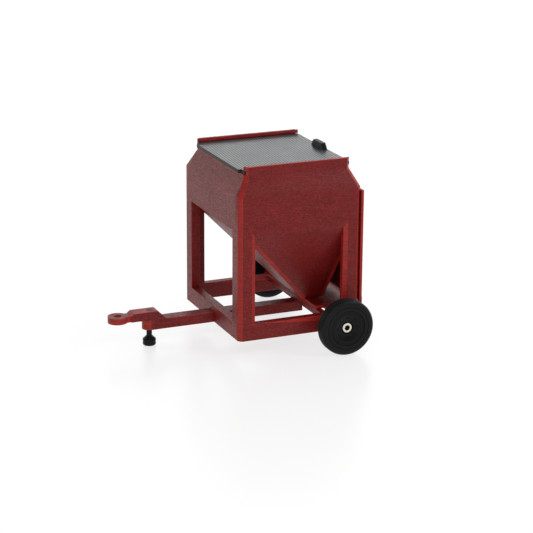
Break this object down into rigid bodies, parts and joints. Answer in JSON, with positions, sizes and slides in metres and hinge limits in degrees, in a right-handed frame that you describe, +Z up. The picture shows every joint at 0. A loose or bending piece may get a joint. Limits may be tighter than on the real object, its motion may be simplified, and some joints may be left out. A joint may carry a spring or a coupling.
{
  "type": "gravity wagon",
  "caption": "Toy gravity wagon: seed bin with sloped hopper on a post frame, sliding lid, outlet gate, screwed-on wheels, drawbar with hitch eye and support foot.",
  "frame": {"origin": "on the ground, at the centre of the wagon's footprint", "axes": "+X towards the hitch, +Y to the wagon's left, +Z up"},
  "size_m": [0.107, 0.088, 0.0821],
  "materials": {
    "red_plastic": "printed dark red plastic, semi-gloss, fine layer lines",
    "grey_plastic": "printed dark grey plastic, glossy, diagonal top lines",
    "black_plastic": "black plastic, satin",
    "tyre_rubber": "black rubber, satin",
    "screw_steel": "plain steel, bright"
  },
  "bodies": {
    "chassis": {"front_left_post": "red_plastic", "front_right_post": "red_plastic", "rear_left_post": "red_plastic", "rear_right_post": "red_plastic", "left_rail": "red_plastic", "right_rail": "red_plastic", "front_rail": "red_plastic", "rear_rail": "red_plastic", "cross_bar": "red_plastic", "left_bin_wall": "red_plastic", "right_bin_wall": "red_plastic", "front_bin_wall": "red_plastic", "rear_bin_wall": "red_plastic", "front_slope": "red_plastic", "rear_slope": "red_plastic", "left_slope": "red_plastic", "right_slope": "red_plastic", "rear_plate": "red_plastic", "drawbar": "red_plastic", "hitch_plate": "red_plastic", "hitch_eye": "red_plastic", "left_axle_boss": "red_plastic", "right_axle_boss": "red_plastic", "left_wheel_screw": "screw_steel", "right_wheel_screw": "screw_steel"},
    "lid_body": {"lid": "grey_plastic", "lid_handle": "black_plastic"},
    "gate_body": {"outlet_gate": "red_plastic", "gate_lip": "red_plastic"},
    "support_body": {"support_pin": "black_plastic", "support_foot": "black_plastic"},
    "left_wheel": {"left_tyre": "tyre_rubber", "left_rim": "black_plastic"},
    "right_wheel": {"right_tyre": "tyre_rubber", "right_rim": "black_plastic"}
  },
  "joints": [
    {"name": "lid_slide", "type": "slide", "parent": "chassis", "child": "lid_body", "axis": [-1, 0, 0], "range_m": [0, 0.045]},
    {"name": "gate_slide", "type": "slide", "parent": "chassis", "child": "gate_body", "axis": [-1, 0, 0], "range_m": [0, 0.009]},
    {"name": "support_slide", "type": "slide", "parent": "chassis", "child": "support_body", "axis": [0, 0, 1], "range_m": [0, 0.0031]},
    {"name": "left_wheel_spin", "type": "hinge", "parent": "chassis", "child": "left_wheel", "pos_m": [-0.0373, 0.0411, 0.012], "axis": [0, 1, 0], "continuous": true},
    {"name": "right_wheel_spin", "type": "hinge", "parent": "chassis", "child": "right_wheel", "pos_m": [-0.0373, -0.0411, 0.012], "axis": [0, 1, 0], "continuous": true}
  ]
}
